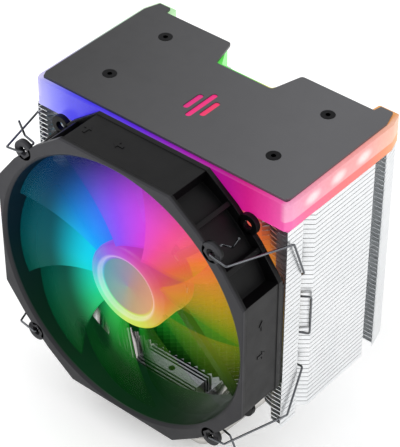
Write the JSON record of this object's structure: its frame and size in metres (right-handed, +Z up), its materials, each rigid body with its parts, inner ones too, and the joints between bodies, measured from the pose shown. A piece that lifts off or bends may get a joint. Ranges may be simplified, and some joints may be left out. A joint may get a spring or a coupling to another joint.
{
  "type": "cpu tower cooler",
  "caption": "Tower processor cooler with a fin stack on heat pipes, a lit top cover and a 140 mm fan held by wire clips.",
  "frame": {"origin": "centre of the base's contact face, which rests on the processor", "axes": "+Z up out of the contact face, through the fins; -Y is the fan's side; +X to the right seen from the fan"},
  "size_m": [0.1446, 0.1086, 0.159],
  "materials": {
    "plated_copper": "bright nickel plate",
    "bare_aluminium": "satin",
    "fin_aluminium": "bright sheet",
    "zinc_steel": "satin",
    "board": "matte",
    "light_chip": "gloss",
    "frosted_plastic": "frosted",
    "cover_paint": "satin black",
    "black_steel": "black oxide",
    "frame_plastic": "matte",
    "soft_pad": "matte",
    "brass": "satin",
    "coil_wire": "enamelled",
    "blade_plastic": "frosted",
    "magnet": "matte",
    "shaft_steel": "ground",
    "clip_steel": "spring steel"
  },
  "bodies": {
    "cooler": {"base_plate": "plated_copper", "saddle_block": "bare_aluminium", "heat_pipe_1": "plated_copper", "heat_pipe_2": "plated_copper", "heat_pipe_3": "plated_copper", "heat_pipe_4": "plated_copper", "heat_pipe_5": "plated_copper", "heat_pipe_6": "plated_copper", "fin_stack": "fin_aluminium", "cover_posts": "zinc_steel", "led_board": "board", "top_leds": "light_chip", "light_band": "frosted_plastic", "light_window": "frosted_plastic", "top_cover": "cover_paint", "cover_screws": "black_steel", "fan_frame": "frame_plastic", "fan_pads": "soft_pad", "bearing_housing": "brass", "bearing_sleeve": "brass", "thrust_pad": "soft_pad", "stator_core": "zinc_steel", "stator_coils": "coil_wire", "motor_board": "board", "fan_leds": "light_chip"},
    "rotor": {"impeller": "blade_plastic", "rotor_yoke": "zinc_steel", "magnet_ring": "magnet", "rotor_shaft": "shaft_steel", "retaining_ring": "shaft_steel"},
    "right_clip": {"clip_right": "clip_steel"},
    "left_clip": {"clip_left": "clip_steel"}
  },
  "joints": [
    {"name": "rotor_spin", "type": "hinge", "parent": "cooler", "child": "rotor", "pos_m": [0, -0.022, 0.0889], "axis": [0, -1, 0], "continuous": true},
    {"name": "right_clip_swing", "type": "hinge", "parent": "cooler", "child": "right_clip", "pos_m": [0.0525, -0.0334, 0.0889], "axis": [0, 0, -1], "range_deg": [0, 25]},
    {"name": "left_clip_swing", "type": "hinge", "parent": "cooler", "child": "left_clip", "pos_m": [-0.0525, -0.0334, 0.0889], "axis": [0, 0, 1], "range_deg": [0, 25]}
  ]
}
